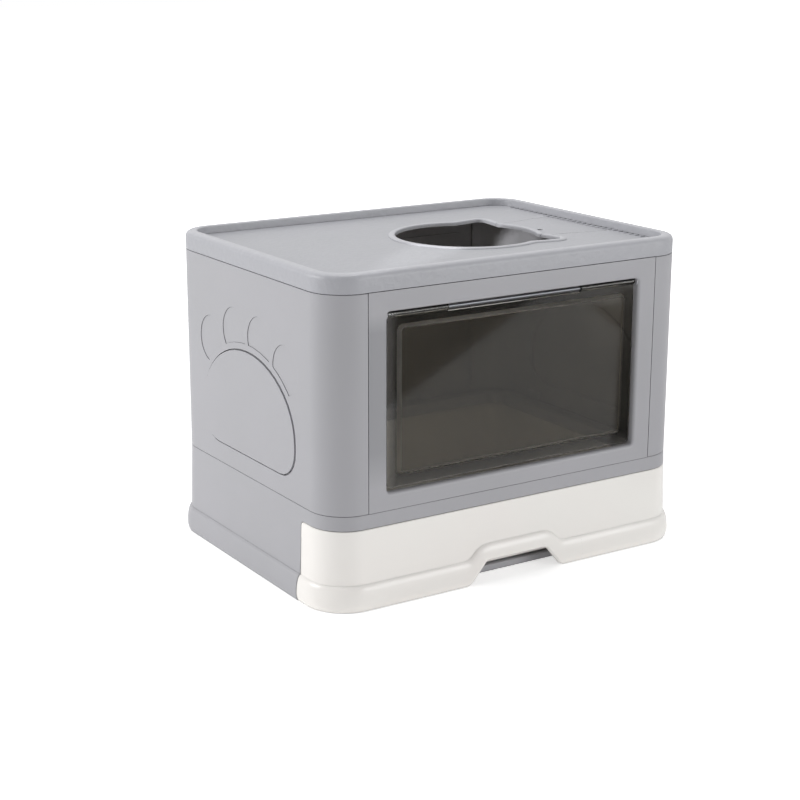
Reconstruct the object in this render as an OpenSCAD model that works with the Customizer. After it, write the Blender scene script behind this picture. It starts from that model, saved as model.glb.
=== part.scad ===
// Covered litter box with a pull-out litter drawer, a swinging front flap and a top entry.
// Origin at the middle of the footprint on the floor, front towards -Y, up is +Z, millimetres.

/* [Overall] */
// Width over the skirt
overall_w = 500; // [460:1:540]
// Depth over the skirt
overall_d = 380; // [350:1:420]
// Height to the top of the lid rim
overall_h = 370; // [350:1:400]
// How far the skirt stands out beyond the body
skirt_flare = 8; // [6:0.5:10]
// Radius of the upright body corners
corner_r = 42; // [36:1:46]
// Thickness of the moulded walls
wall = 2.5; // [2.2:0.1:2.8]

/* [Base] */
// Height of the base, up to the seam below the side shells
base_h = 108; // [104:1:114]
// Height of the band that bridges the drawer opening
header_h = 16; // [14:1:18]
// Height of the rounded skirt
skirt_h = 30; // [26:1:34]
// Outward lean of the base wall down to the skirt
base_draft = 2.4; // [1.6:0.2:3]
// Width of the deck that the side shells stand on
deck_w = 22; // [21:0.5:26]
// Height of the base floor above the ground
floor_z = 5; // [4:0.5:6]
// Thickness of the stiffening ribs
rib_t = 2; // [1.6:0.2:2.4]
// Distance of the outer ribs and drawer rails from the middle
rail_x = 120; // [100:5:150]

/* [Drawer] */
// Depth of the drawer front where it wraps round the body corner
wrap_d = 61; // [55:1:70]
// Free depth for the fingers behind the drawer front
finger_room = 16; // [14:0.5:17]
// Inward lean of the pan walls over their height
pan_draft = 4; // [2:0.5:6]
// Radius between the pan walls and its floor
pan_fillet = 7; // [5:0.5:9]
// Height of the handle notch
notch_h = 27; // [24:1:32]
// Width of the handle notch at its top
notch_top_w = 82; // [70:2:96]
// Width of the handle notch at the floor
notch_bottom_w = 126; // [116:2:140]
// Radius of the upper notch corners
notch_top_r = 8; // [6:0.5:10]
// Radius of the lower notch corners
notch_bottom_r = 13; // [10:0.5:16]
// Width of the rolled arch over the notch
arch_w = 19; // [16:0.5:22]

/* [Side shells] */
// How far the side shells reach round onto the front and rear
shell_return = 48; // [47:1:52]
// Half length of the paw's palm
palm_a = 110; // [96:2:116]
// Height of the palm's arched part
palm_b = 82; // [70:2:86]
// Height of the palm's flat lower edge above the base
palm_up = 23.5; // [18:0.5:28]
// Radius of the palm's lower corners
palm_r = 35; // [28:1:40]
// Depth of the channel that outlines the palm
channel_depth = 3; // [2.4:0.2:3.6]
// Mean width of the palm's channel
channel_w = 1.8; // [1.6:0.1:2.2]
// How much wider the palm's channel is at its front end
channel_back = 2.4; // [2:0.2:3]
// Radius of the toes
toe_r = 28; // [24:0.5:29]
// Depth of the toe recesses
toe_depth = 0.7; // [0.6:0.1:1.2]

/* [Front panel and flap] */
// Width of the panel beside the window
win_side = 23.6; // [20:0.2:30]
// Height of the panel above the window, up to the lid
win_top = 23; // [21:1:32]
// Height of the panel below the window, down to the base
win_sill = 19; // [16:1:24]
// Radius of the window corners
win_r = 4.5; // [4:0.25:5]
// Radius of the soft edge round the window
win_edge_r = 4; // [3:0.5:5]
// Depth of the collar round the window
collar_d = 8; // [7:0.5:9]
// Thickness of the flap sheet
flap_t = 2.4; // [2:0.1:2.6]
// Width of the flap's flat flange
flap_flange = 12.5; // [11:0.5:14]
// Height by which the middle of the flap stands forward
dish_h = 4; // [3:0.5:4.5]
// Radius of the hinge rod
rod_r = 2; // [1.6:0.1:2.2]
// Half length of the stretch of rod that shows between the flap's two barrels
rod_show = 90; // [70:5:110]

/* [Lid] */
// Height of the lid's side
lid_side_h = 21; // [19:1:24]
// Width of the lid's rim
rim_w = 14; // [12:0.5:16]
// Depth of the tray in the top of the lid
tray_depth = 9; // [7:0.5:10]
// Thickness of the lid's tray floor
lid_t = 2.6; // [2.4:0.1:3]
// Distance from the cat head's centre to the hinge of the hatch
cat_in = 165; // [160:1:172]
// Place of the cat head's centre behind the middle
cat_y = -6; // [-12:1:6]
// Radius of the cat head opening
cat_r = 85; // [78:1:88]
// Distance of the ear tips from the cat head's centre
ear_reach = 112; // [108:1:114]
// Angle of the ears from the head's axis
ear_angle = 46; // [44:1:48]
// Radius of the ear tips
ear_tip_r = 8; // [6:0.5:9]
// Width of the raised lip
lip_w = 8; // [6:0.5:9]
// Height of the raised lip
lip_h = 1.8; // [1.7:0.1:2.2]

/* [Lid hatch] */
// Half width of the hatch at its hinge
hatch_half_w = 60; // [56:1:64]
// Half width of the hatch at the ear notches
hatch_half_neck = 47; // [45:1:49]
// Distance from the hinge of the hatch to the foot of the lid rim
hinge_in = 11.4; // [10.4:0.2:14.4]
// Radius of the hatch pin
pin_r = 1.5; // [1.2:0.1:1.6]

/* [Fits] */
// Gap at the seams between the fixed panels
seam = 0.8; // [0.6:0.1:1]
// Gap between pieces that move on each other
run_gap = 0.4; // [0.3:0.05:0.5]
// Gap round the drawer front
drawer_gap = 0.8; // [0.6:0.1:1.2]
// Side clearance of the pan in the base
pan_gap = 1.5; // [1:0.1:2]
// Radial clearance of a rod or pin in its bore
bore_gap = 0.06; // [0.04:0.01:0.09]
// Gap round the flap in its window
flap_gap = 2.5; // [2:0.1:3]
// Gap round the hatch in the lid
hatch_gap = 0.7; // [0.6:0.05:0.9]

/* [Hidden] */
$fn = 96;

grey = "#a9a9af";
white = "#e9e8e4";
smoke = "#4a463f80";
steel = "#c4c6c9";

body_w = overall_w - 2 * skirt_flare;
body_d = overall_d - 2 * skirt_flare;
lid_z = overall_h - lid_side_h;
eps = 0.01;
far = 2 * overall_w;

// Small broken edge at every seam
edge = 0.7;

// ---- outlines and sweeps ----

// Points on an arc round c, from angle a0 to a1 in n steps
function arc(c, r, a0, a1, n) = [for (i = [0:n]) let (a = a0 + (a1 - a0) * i / n)
    c + r * [cos(a), sin(a)]];

// Rectangle with round corners
module round_rect(w, d, r) {
    square([w - 2 * r, d], center = true);
    square([w, d - 2 * r], center = true);
    for (x = [-1, 1], y = [-1, 1])
        translate([x * (w / 2 - r), y * (d / 2 - r)]) circle(r);
}

// The body's outline, grown by out
module body_outline(out) {
    round_rect(body_w + 2 * out, body_d + 2 * out, corner_r + out);
}

// Carries a section round a rectangle w by d with corner radius r: in the section, x is the
// distance outside the rectangle and y is the height
module band(w, d, r) {
    for (q = [0:3]) {
        half = q % 2 == 0 ? [w / 2, d / 2] : [d / 2, w / 2];
        rotate(90 * q) {
            translate([half[0], 0, 0]) rotate([90, 0, 0])
                linear_extrude(2 * (half[1] - r), center = true) children();
            translate([half[0] - r, half[1] - r, 0])
                rotate_extrude(angle = 90) translate([r, 0]) children();
        }
    }
}

// Turns a shape drawn in X and Y so that its Y becomes height and its thickness runs along -Y
module upright() {
    rotate([90, 0, 0]) children();
}

// Faces between neighbouring stations of a skin, each a loop of cols points
function skin_faces(steps, rows, cols) = [for (i = steps, j = [0:cols - 1])
    let (k = (j + 1) % cols, n = (i + 1) % rows)
    each [[i * cols + j, i * cols + k, n * cols + k], [i * cols + j, n * cols + k, n * cols + j]]];

// End of a sheet's skin: a strip between its outer and inner line
function sheet_end(from, cols) = [for (j = [0:cols / 2 - 2])
    each [[from + j, from + cols - 2 - j, from + j + 1],
          [from + j, from + cols - 1 - j, from + cols - 2 - j]]];
function flipped(faces) = [for (f = faces) [f[2], f[1], f[0]]];

// A bent sheet: each station is its outer line followed by its inner line backwards
module sheet_skin(stations) {
    rows = len(stations);
    cols = len(stations[0]);
    polyhedron(points = [for (s = stations) each s],
        faces = concat(skin_faces([0:rows - 2], rows, cols), sheet_end(0, cols),
            flipped(sheet_end((rows - 1) * cols, cols))));
}

// A closed ring of stations, each a closed loop of points
module ring_skin(stations) {
    rows = len(stations);
    cols = len(stations[0]);
    polyhedron(points = [for (s = stations) each s],
        faces = skin_faces([0:rows - 1], rows, cols));
}

// ---- base wall and skirt ----

skirt_out = skirt_flare - base_draft;
skirt_crest = 0.27;
skirt_foot = 0.62;

// Rolled skirt as [height, bulge] shares, from its foot over the crest to the crease
skirt_roll = concat(
    [for (i = [0:3]) let (u = skirt_crest * i / 4)
        [u, 1 - (1 - skirt_foot) * pow((skirt_crest - u) / skirt_crest, 2)]],
    [for (a = [0:10:90]) [skirt_crest + (1 - skirt_crest) * sin(a), cos(a)]]);

// How far the leaning wall stands outside the body at height z
function lean(z) = base_draft * min(1, (base_h - z) / (base_h - skirt_h));

// Skirt and wall line, from the bottom at z0 up to the height z1, moved inwards by inset
function wall_line(z0, z1, inset) = concat(
    [for (p = skirt_roll) [base_draft + skirt_out * p[1] - inset, z0 + p[0] * (skirt_h - z0)]],
    [[lean(z1) - inset, z1]]);

function backwards(list) = [for (i = [len(list) - 1:-1:0]) list[i]];

drawer_open_z = base_h - header_h;
drawer_top = drawer_open_z - drawer_gap;
drawer_foot = 0.6;
wrap_y = -overall_d / 2 + skirt_flare + wrap_d;
wrap_r = 5;
lip_down = drawer_open_z + run_gap;

// Block that holds the drawer front and where it wraps the corners, grown by out
module drawer_zone(out) {
    depth = far;
    r = wrap_r + out;
    top = drawer_top + out;
    rotate([90, 0, 90]) linear_extrude(far, center = true) {
        translate([wrap_y + out - depth, -far]) square([depth, far + top - r]);
        translate([wrap_y + out - depth, top - r - eps]) square([depth - r, r + eps]);
        translate([wrap_y + out - r, top - r]) circle(r);
    }
}

module base_ring_section() {
    polygon(concat(
        wall_line(0, base_h - edge, 0),
        [[-edge, base_h], [-deck_w, base_h], [-deck_w, lip_down],
         [wall - deck_w, lip_down], [wall - deck_w, base_h - wall], [-wall, base_h - wall]],
        backwards(wall_line(0, base_h - 2 * wall, wall))));
}

rail_h = 1.5;
rail_w = 8;
pan_z = floor_z + wall + rail_h + run_gap;
pan_front = -body_d / 2 + wall + finger_room;
pan_rear = body_d / 2 - wall - pan_gap;
pan_w = body_w - 2 * (wall + pan_gap);
pan_corner_r = corner_r - wall - pan_gap;
pan_d = pan_rear - pan_front;
pan_y = (pan_rear + pan_front) / 2;

// Base floor edge, inside the thickness of the skirt
floor_out = base_draft + skirt_out * 0.95 - wall / 2;
floor_front = pan_front + 2 * wall;
floor_half = body_w / 2 - 2 * wall;
rail_in = 6;

module base_floor() {
    // narrower at the front, where the drawer wraps round the sides
    translate([0, 0, floor_z]) linear_extrude(wall) intersection() {
        body_outline(floor_out);
        union() {
            translate([-far / 2, wrap_y + drawer_gap]) square(far);
            translate([-floor_half, floor_front]) square([2 * floor_half, far]);
        }
    }
    // drawer rails
    for (x = [-1, 1])
        translate([x * rail_x - rail_w / 2, floor_front + rail_in, floor_z + wall - eps])
            cube([rail_w, pan_rear - floor_front - 2 * rail_in, rail_h + eps]);
    // ribs below the floor
    rib_d = body_d / 2 - floor_front;
    for (x = [-rail_x, 0, rail_x])
        translate([x - rib_t / 2, floor_front, 0]) cube([rib_t, rib_d, floor_z + eps]);
    for (y = [floor_front, 0, body_d / 3])
        translate([-floor_half, y, 0]) cube([2 * floor_half, rib_t, floor_z + eps]);
}

// Hook section: x is the distance outside the body's outline, y the height
hook_t = 2.2;
hook_drop = 9;
hook_rise = 10;
hook_root = 2;
hook_bite = 1.2;
module hook_section() {
    near = -wall - run_gap;
    back = near - hook_t;
    polygon([[-wall, base_h + hook_rise + hook_root], [back, base_h + hook_rise],
        [back, base_h - wall - run_gap],
        [back - hook_bite, base_h - wall - run_gap], [back, base_h - hook_drop],
        [near, base_h - hook_drop], [near, base_h], [-wall, base_h]]);
}

hook_w = 24;
side_hooks = [-100, 100];
panel_hooks = [-120, 0, 120];

// Hooks of one side shell, at the right
module side_shell_hooks() {
    for (y = side_hooks)
        translate([body_w / 2, y, 0]) upright()
            linear_extrude(hook_w, center = true) hook_section();
}

// Hooks of the front panel
module panel_hook_row() {
    for (x = panel_hooks)
        translate([x, -body_d / 2, 0]) rotate([90, 0, -90])
            linear_extrude(hook_w, center = true) hook_section();
}

// Slots in the deck for all hooks
module hook_slots() {
    slot_t = hook_t + 2 * run_gap;
    slot_in = wall + run_gap / 2;
    slot_w = hook_w + 2 * run_gap;
    for (side = [-1, 1], y = side_hooks)
        translate([side * (body_w / 2 - slot_in - slot_t / 2), y, base_h])
            cube([slot_t, slot_w, 3 * wall], center = true);
    for (side = [-1, 1], x = panel_hooks)
        translate([x, side * (body_d / 2 - slot_in - slot_t / 2), base_h])
            cube([slot_w, slot_t, 3 * wall], center = true);
}

module base_frame() {
    color(grey) {
        difference() {
            band(body_w, body_d, corner_r) base_ring_section();
            drawer_zone(drawer_gap);
            hook_slots();
        }
        base_floor();
    }
}

// ---- drawer ----

// The arch sheet's ends are let this far into the faces that they join
sink = 0.03;

// Right half of the notch as matching points on its edge and on the crease of its rolled arch,
// from the straight skirt to the middle

notch_slope = atan2(notch_h, (notch_bottom_w - notch_top_w) / 2);
foot_c = [notch_bottom_w / 2 + notch_bottom_r * tan(notch_slope / 2),
    drawer_foot + sink + notch_bottom_r];
top_c = [notch_top_w / 2 - notch_top_r * tan(notch_slope / 2), notch_h - notch_top_r];
crease_r = 14;
crease_foot = foot_c[0] + ((arch_w - notch_bottom_r) - (skirt_h - foot_c[1]) * cos(notch_slope))
    / sin(notch_slope);
crease_c = [crease_foot + crease_r * tan(notch_slope / 2), skirt_h + crease_r];
patch_run = 25;
patch_lap = 2;
patch_x = crease_c[0] + patch_run;

notch_edge = concat(
    [for (i = [0:3]) [patch_x + (foot_c[0] - patch_x) * i / 4, drawer_foot + sink]],
    arc(foot_c, notch_bottom_r, -90, -90 - notch_slope, 8),
    arc(top_c, notch_top_r, 90 - notch_slope, 90, 8),
    [[0, notch_h]]);
notch_crease = concat(
    [for (i = [0:3]) [patch_x + (crease_c[0] - patch_x) * i / 4, skirt_h]],
    arc(crease_c, crease_r, -90, -90 - notch_slope, 8),
    arc(top_c, notch_top_r + arch_w, 90 - notch_slope, 90, 8),
    [[0, notch_h + arch_w]]);

function mirrored(list) = [for (p = list) [-p[0], p[1]]];
function across(list) = concat(list, backwards([for (i = [0:len(list) - 2]) mirrored(list)[i]]));

full_edge = across(notch_edge);
full_crease = across(notch_crease);

// Point of the rolled arch between edge point a and crease point b, at roll sample p
function roll_point(a, b, p, inset) = let (q = a + (b - a) * p[0])
    [q[0], -body_d / 2 - lean(q[1]) - skirt_out * p[1] + inset, q[1]];

// The skirt where it rolls up over the notch, as one moulded sheet
module arch_sheet() {
    sheet_skin(backwards([for (i = [0:len(full_edge) - 1])
        let (a = full_edge[i], b = full_crease[i]) concat(
            [for (p = skirt_roll) roll_point(a, b, p, sink)],
            backwards([for (p = skirt_roll) roll_point(a, b, p, wall - sink)]))]));
}

// What the arch sheet replaces in the drawer front, a little below the crease
module arch_window() {
    under = 0.94;
    line = [for (i = [0:len(full_edge) - 1])
        full_edge[i] + (full_crease[i] - full_edge[i]) * under];
    translate([0, -body_d / 2 + 2 * wall, 0]) upright() linear_extrude(far)
        intersection() {
            polygon(concat([[patch_x, -far]], line, [[-patch_x, -far]]));
            square([2 * (patch_x - patch_lap), far], center = true);
        }
}

module drawer_front_section() {
    polygon(concat(
        wall_line(drawer_foot, drawer_top - edge, 0),
        [[lean(drawer_top) - edge, drawer_top], [-wall - finger_room - wall, drawer_top],
         [-wall - finger_room - wall, drawer_top - wall], [-wall, drawer_top - wall]],
        backwards(wall_line(drawer_foot, drawer_top - 2 * wall, wall))));
}

// Pan wall with its rounded foot: x from the pan's outer line, y the height
module pan_section() {
    foot_x = -pan_draft - pan_fillet;
    foot_z = pan_z + pan_fillet;
    polygon(concat(
        [[0, drawer_top]],
        arc([foot_x, foot_z], pan_fillet, 0, -90, 6),
        [[foot_x - wall, pan_z], [foot_x - wall, pan_z + wall]],
        arc([foot_x, foot_z], pan_fillet - wall, -90, 0, 6),
        [[-wall, drawer_top]]));
}

module drawer() {
    floor_in = pan_draft + pan_fillet + wall / 2;
    color(white) {
        difference() {
            intersection() {
                band(body_w, body_d, corner_r) drawer_front_section();
                drawer_zone(0);
            }
            arch_window();
            translate([0, pan_y, drawer_top - 2 * wall]) linear_extrude(far)
                round_rect(pan_w - 2 * wall, pan_d - 2 * wall, pan_corner_r - wall);
        }
        arch_sheet();
        translate([0, pan_y, 0]) {
            band(pan_w, pan_d, pan_corner_r) pan_section();
            translate([0, 0, pan_z]) linear_extrude(wall)
                round_rect(pan_w - 2 * floor_in, pan_d - 2 * floor_in, pan_corner_r - floor_in);
        }
    }
}

// ---- side shells ----

palm_z = base_h + palm_up;
palm_waist = 8;
palm_mid = palm_z + palm_r + palm_waist;

// The palm's outline in depth and height, grown by out
function palm_line(out) = concat(
    [for (a = [0:7.5:180]) [(palm_a + out) * cos(a), palm_mid + (palm_b + out) * sin(a)]],
    arc([palm_r - palm_a, palm_z + palm_r], palm_r + out, 180, 270, 6),
    arc([palm_a - palm_r, palm_z + palm_r], palm_r + out, 270, 360, 6));

toe_gap = 7;
// Toe centres: place along the side and height above the palm's widest line
toes = [[-88, 78.5], [-30, 98.5], [30, 98.5], [88, 78.5]];

// Runs along +X from the plane x = 0, with the outline's first axis along +Y
module along_x(length) {
    rotate([90, 0, 90]) linear_extrude(length) children();
}

// The palm's channel is a little wider at its top than at its bottom
channel_down = 0.6;

// The channel round the palm, wide at the front and running out towards the rear; it is grown by
// out on both sides
module palm_channel(out) {
    difference() {
        polygon(palm_line(out));
        translate([channel_back, -channel_down]) polygon(palm_line(-channel_w - out));
    }
}

// The palm's channel and the four toes, as cut from the right side
module paw_cut() {
    side = body_w / 2;
    translate([side - channel_depth, 0, 0]) along_x(far) palm_channel(0);
    for (t = toes)
        translate([side - toe_depth, 0, 0]) along_x(far) difference() {
            translate([t[0], palm_mid + t[1]]) circle(toe_r);
            polygon(palm_line(toe_gap));
        }
}

shell_z = base_h;
shell_top = lid_z - run_gap;

// Side shell wall as a section: x from the body's outline, y the height
module shell_section() {
    polygon([[-edge, shell_z], [0, shell_z + edge], [0, shell_top - edge], [-edge, shell_top],
        [-wall, shell_top], [-wall, shell_z]]);
}

seam_x = body_w / 2 - shell_return;

module side_shell_right() {
    difference() {
        union() {
            intersection() {
                band(body_w, body_d, corner_r) shell_section();
                translate([seam_x + seam / 2, -far / 2, 0]) cube(far);
            }
            // rib behind the palm's channel
            translate([body_w / 2 - wall - channel_depth, 0, 0]) along_x(channel_depth + eps)
                palm_channel(wall);
        }
        paw_cut();
    }
    side_shell_hooks();
}

module right_side_shell() {
    color(grey) side_shell_right();
}

module left_side_shell() {
    color(grey) mirror([1, 0, 0]) side_shell_right();
}

// ---- front and rear panels ----

tongue_w = 5;
tongue_root = 2;
tongue_in = 4;
tongue_top = lid_z - 12;
panel_w = 2 * seam_x - seam;

// Flat panel at the front, with the tongues that lap behind the side shells
module panel_plate() {
    translate([0, -body_d / 2 + wall, 0]) upright()
        translate([-panel_w / 2, shell_z]) linear_extrude(wall)
            square([panel_w, shell_top - shell_z]);
    for (x = [-1, 1]) translate([x * seam_x, 0, 0])
        translate([-tongue_w - tongue_root, -body_d / 2 + wall - eps, shell_z + tongue_in])
            difference() {
                cube([2 * tongue_w + tongue_root, wall + eps, tongue_top - shell_z - tongue_in]);
                // clear of the shell's wall beside the panel
                translate([tongue_w + tongue_root + (x > 0 ? -seam / 2 : seam / 2 - far), -wall, -wall])
                    cube([far, wall + run_gap / 2 + eps, far]);
            }
    panel_hook_row();
}

win_w = panel_w - 2 * win_side;
win_z = base_h + win_sill;
win_h = lid_z - win_top - win_z;
win_mid = win_z + win_h / 2;

// Collar and soft edge round the window: x outside the opening, y forward of the panel's face
collar_lap = 1;
module collar_section() {
    polygon(concat(
        [[0, -collar_d]],
        arc([win_edge_r, -win_edge_r], win_edge_r, 180, 90, 6),
        [[win_edge_r + collar_lap, 0], [win_edge_r + collar_lap, -wall],
         [wall, -wall], [wall, -collar_d]]));
}

// The rod's depth behind the front face and below the top of the window
rod_in = 7.5;
barrel_wall = 1.6;
barrel_r = rod_r + barrel_wall;
barrel_room = 0.6;
rod_drop = barrel_r + barrel_room;
rod_y = -body_d / 2 + rod_in;
rod_z = win_z + win_h - rod_drop;

// Bosses for the rod, let into the back of the panel and standing proud in the window
boss_r = rod_in - wall + 0.5;
boss_l = 5;
boss_proud = 1;
rod_l = win_w + 2 * boss_l;

module front_panel() {
    color(grey) difference() {
        union() {
            difference() {
                panel_plate();
                translate([0, 0, win_mid]) upright() linear_extrude(far)
                    round_rect(win_w + 2 * win_edge_r, win_h + 2 * win_edge_r, win_r + win_edge_r);
            }
            translate([0, -body_d / 2, win_mid]) upright()
                band(win_w, win_h, win_r) collar_section();
            for (x = [-1, 1])
                translate([x * (win_w + wall + boss_l - boss_proud) / 2, rod_y, rod_z])
                    rotate([0, 90, 0])
                        cylinder(r = boss_r, h = wall + boss_l + boss_proud, center = true);
        }
        translate([0, rod_y, rod_z]) rotate([0, 90, 0])
            cylinder(r = rod_r + bore_gap, h = rod_l, center = true);
    }
}

// Stiffening field pressed into the rear panel
field_in = 24;
field_depth = 1;

module rear_panel() {
    field_h = shell_top - shell_z - 2 * field_in;
    color(grey) rotate(180) difference() {
        union() {
            panel_plate();
            translate([0, -body_d / 2 + wall + field_depth, shell_z + field_in + field_h / 2]) upright()
                linear_extrude(field_depth + eps)
                    round_rect(panel_w - 2 * field_in + 2 * wall, field_h + 2 * wall, win_r + wall);
        }
        translate([0, -body_d / 2 + field_depth, shell_z + field_in + field_h / 2]) upright()
            linear_extrude(far) round_rect(panel_w - 2 * field_in, field_h, win_r);
    }
}

// ---- flap ----

flap_w = win_w - 2 * flap_gap;
flap_low = win_z + flap_gap + 1;
// the sheet's top edge leaves an open slot below the rod
rod_slot = 2.5;
flap_top = rod_z - rod_r - rod_slot;
flap_h = flap_top - flap_low;
flap_r = 6;
dish_r = 8;
dish_w = flap_w - 2 * flap_flange;
dish_up = 5.4;
dish_d = flap_h - 2 * flap_flange + dish_up;
dish_z = flap_low + flap_flange + dish_d / 2;
dish_side = 3.5;

// Height of the tabs that carry the sheet up to the barrels
tab_h = 10;
// The barrels stop short of the flap's sides, clear of the window's corners
barrel_in = 0.5;
barrel_l = flap_w / 2 - barrel_in - rod_show;
barrel_x = rod_show + barrel_l / 2;

// Slanting wall of the raised middle: x outside its base line, y forward of the sheet's front
module dish_section() {
    polygon([[1, 0], [0, 0], [-dish_side, dish_h], [-dish_side - flap_t, dish_h],
        [-dish_side - flap_t, dish_h - flap_t], [-dish_side - flap_t / 2, dish_h - flap_t],
        [-flap_t, -flap_t], [1, -flap_t]]);
}

module flap_door() {
    sheet_front = rod_y - flap_t / 2;
    face_in = dish_side + flap_t / 2;
    color(smoke) difference() {
        union() {
            translate([0, sheet_front + flap_t, 0]) upright() linear_extrude(flap_t) difference() {
                union() {
                    translate([0, flap_low + flap_h / 2]) round_rect(flap_w, flap_h, flap_r);
                    for (x = [-1, 1])
                        translate([x * barrel_x, rod_z - tab_h / 2])
                            square([barrel_l, tab_h], center = true);
                }
                translate([0, dish_z]) round_rect(dish_w, dish_d, dish_r);
            }
            translate([0, sheet_front, dish_z]) upright() {
                band(dish_w, dish_d, dish_r) dish_section();
                translate([0, 0, dish_h - flap_t]) linear_extrude(flap_t)
                    round_rect(dish_w - 2 * face_in, dish_d - 2 * face_in, dish_r - face_in);
            }
            for (x = [-1, 1])
                translate([x * barrel_x, rod_y, rod_z]) rotate([0, 90, 0])
                    cylinder(r = barrel_r, h = barrel_l, center = true);
        }
        translate([0, rod_y, rod_z]) rotate([0, 90, 0])
            cylinder(r = rod_r + bore_gap, h = far, center = true);
    }
}

module flap_rod() {
    color(steel) translate([0, rod_y, rod_z]) rotate([0, 90, 0])
        cylinder(r = rod_r, h = rod_l - boss_proud, center = true);
}

// ---- lid ----

rim_r = 6.5;
rim_in_r = 2;
tray_z = overall_h - tray_depth;
tray_bottom = tray_z - lid_t;
rim_lean = 0.6;
rim_foot = body_w / 2 - rim_w - rim_lean;
hinge_x = rim_foot - hinge_in;
cat_x = hinge_x - cat_in;
rib_drop = 6;

// Side, rim and inner wall of the lid: x from the body's outline, y the height
module lid_section() {
    rib_out = -wall - run_gap;
    rib_in = rib_out - rib_t;
    polygon(concat(
        [[-edge, lid_z], [0, lid_z + edge]],
        arc([-rim_r, overall_h - rim_r], rim_r, 0, 90, 6),
        arc([rim_in_r - rim_w, overall_h - rim_in_r], rim_in_r, 90, 180, 3),
        [[-rim_w - rim_lean, tray_z], [-rim_w - rim_lean, tray_bottom],
         [wall - rim_w - rim_lean, tray_bottom], [wall - rim_w, overall_h - wall],
         [rib_in, overall_h - wall], [rib_in, lid_z - rib_drop],
         [rib_out, lid_z - rib_drop], [rib_out, lid_z]]));
}

// Cat head outline. The ear is worked out on its own axis: its tip circle, its straight sides
// and the fillets that run them into the head.
ear_half = 36;
ear_fillet = 11;
tip_at = ear_reach - ear_tip_r;
side_n = [sin(ear_half), cos(ear_half)];
side_t = [-cos(ear_half), sin(ear_half)];
fillet_from = [tip_at, 0] + (ear_tip_r + ear_fillet) * side_n;
fillet_dot = fillet_from * side_t;
fillet_c = fillet_from + side_t * (-fillet_dot
    - sqrt(pow(fillet_dot, 2) - fillet_from * fillet_from + pow(cat_r + ear_fillet, 2)));
fillet_a = atan2(fillet_c[1], fillet_c[0]);

function turned(list, a) = [for (p = list)
    [p[0] * cos(a) - p[1] * sin(a), p[0] * sin(a) + p[1] * cos(a)]];

// One ear's outline, out beyond the opening's edge, counter-clockwise along its own axis
function ear_line(out) = concat(
    arc([fillet_c[0], -fillet_c[1]], ear_fillet - out, 180 - fillet_a, 90 + ear_half, 4),
    arc([tip_at, 0], ear_tip_r + out, ear_half - 90, 90 - ear_half, 6),
    arc(fillet_c, ear_fillet - out, -90 - ear_half, fillet_a - 180, 4));

// The whole opening, out beyond its edge, counter-clockwise round the head's centre
function cat_line(out) = let (
    clear = fillet_a,
    brow = [for (i = [1:7]) let (a = -(ear_angle - clear) + 2 * (ear_angle - clear) * i / 8)
        (cat_r + out) * [cos(a), sin(a)]],
    cheek = [for (i = [1:35]) let (a = ear_angle + clear + (360 - 2 * (ear_angle + clear)) * i / 36)
        (cat_r + out) * [cos(a), sin(a)]])
    concat(brow, turned(ear_line(out), ear_angle), cheek, turned(ear_line(out), -ear_angle));

lip_r = 1.6;
lip_toe = 0.2;
lip_root = 1;

// Lip section as [distance outside the opening, height]
lip_line = concat(
    [[0, tray_bottom]],
    [for (a = [180:-22.5:90]) [lip_r + lip_r * cos(a), tray_z + lip_h - lip_r + lip_r * sin(a)]],
    [for (a = [90:-22.5:0])
        [lip_w - 2 * lip_r + 2 * lip_r * cos(a), tray_z - lip_toe + (lip_h + lip_toe) * sin(a)]],
    [[lip_w, tray_z - lip_root], [wall, tray_z - lip_root], [wall, tray_bottom]]);

module cat_lip() {
    outlines = [for (s = lip_line) cat_line(s[0])];
    translate([cat_x, cat_y, 0]) ring_skin([for (i = [0:len(outlines[0]) - 1])
        backwards([for (j = [0:len(lip_line) - 1])
            [outlines[j][i][0], outlines[j][i][1], lip_line[j][1]]])]);
}

neck_off = 2;
neck_x = cat_x + cat_r + neck_off;
hatch_under = 18;
brow_under = 6;
pin_wall = 1.3;
barrel_low = pin_r + pin_wall;
pin_z = tray_z - barrel_low;

// Half width of the hatch at x
function hatch_half(x) = hatch_half_neck
    + (hatch_half_w - hatch_half_neck) * (x - neck_x) / (hinge_x - neck_x);

// Outline of the hatch, from inside the opening to a distance past the hinge, grown by out
module hatch_outline(out, past) {
    left = cat_x + cat_r - hatch_under;
    right = hinge_x + past;
    translate([0, cat_y]) polygon([[left - far, -hatch_half(left) - out], [left, -hatch_half(left) - out],
        [hinge_x, -hatch_half_w - out], [right, -hatch_half_w - out],
        [right, hatch_half_w + out], [hinge_x, hatch_half_w + out],
        [left, hatch_half(left) + out], [left - far, hatch_half(left) + out]]);
}

// Space of the hatch and its share of the lip, open towards the hole
module hatch_zone(out, past) {
    brow = cat_x + cat_r * cos(ear_angle - fillet_a) - brow_under;
    intersection() {
        translate([0, 0, tray_bottom - 1]) linear_extrude(lid_t + lip_h + 2) hatch_outline(out, past);
        translate([brow - out, -far / 2, 0]) cube(far);
    }
}

// Tray floor with its lip, before it is parted into lid and hatch
module tray_floor() {
    difference() {
        translate([0, 0, tray_bottom]) linear_extrude(lid_t)
            body_outline(-rim_w - rim_lean + lip_root);
        translate([cat_x, cat_y, 0]) linear_extrude(far) polygon(cat_line(wall));
    }
    cat_lip();
}

lug_w = 5;
pin_end = 1;
lug_wall = 1.5;
lug_h = 2 * (pin_r + lug_wall);
pin_room = 2 * (hatch_half_w + hatch_gap + lug_w);

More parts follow.
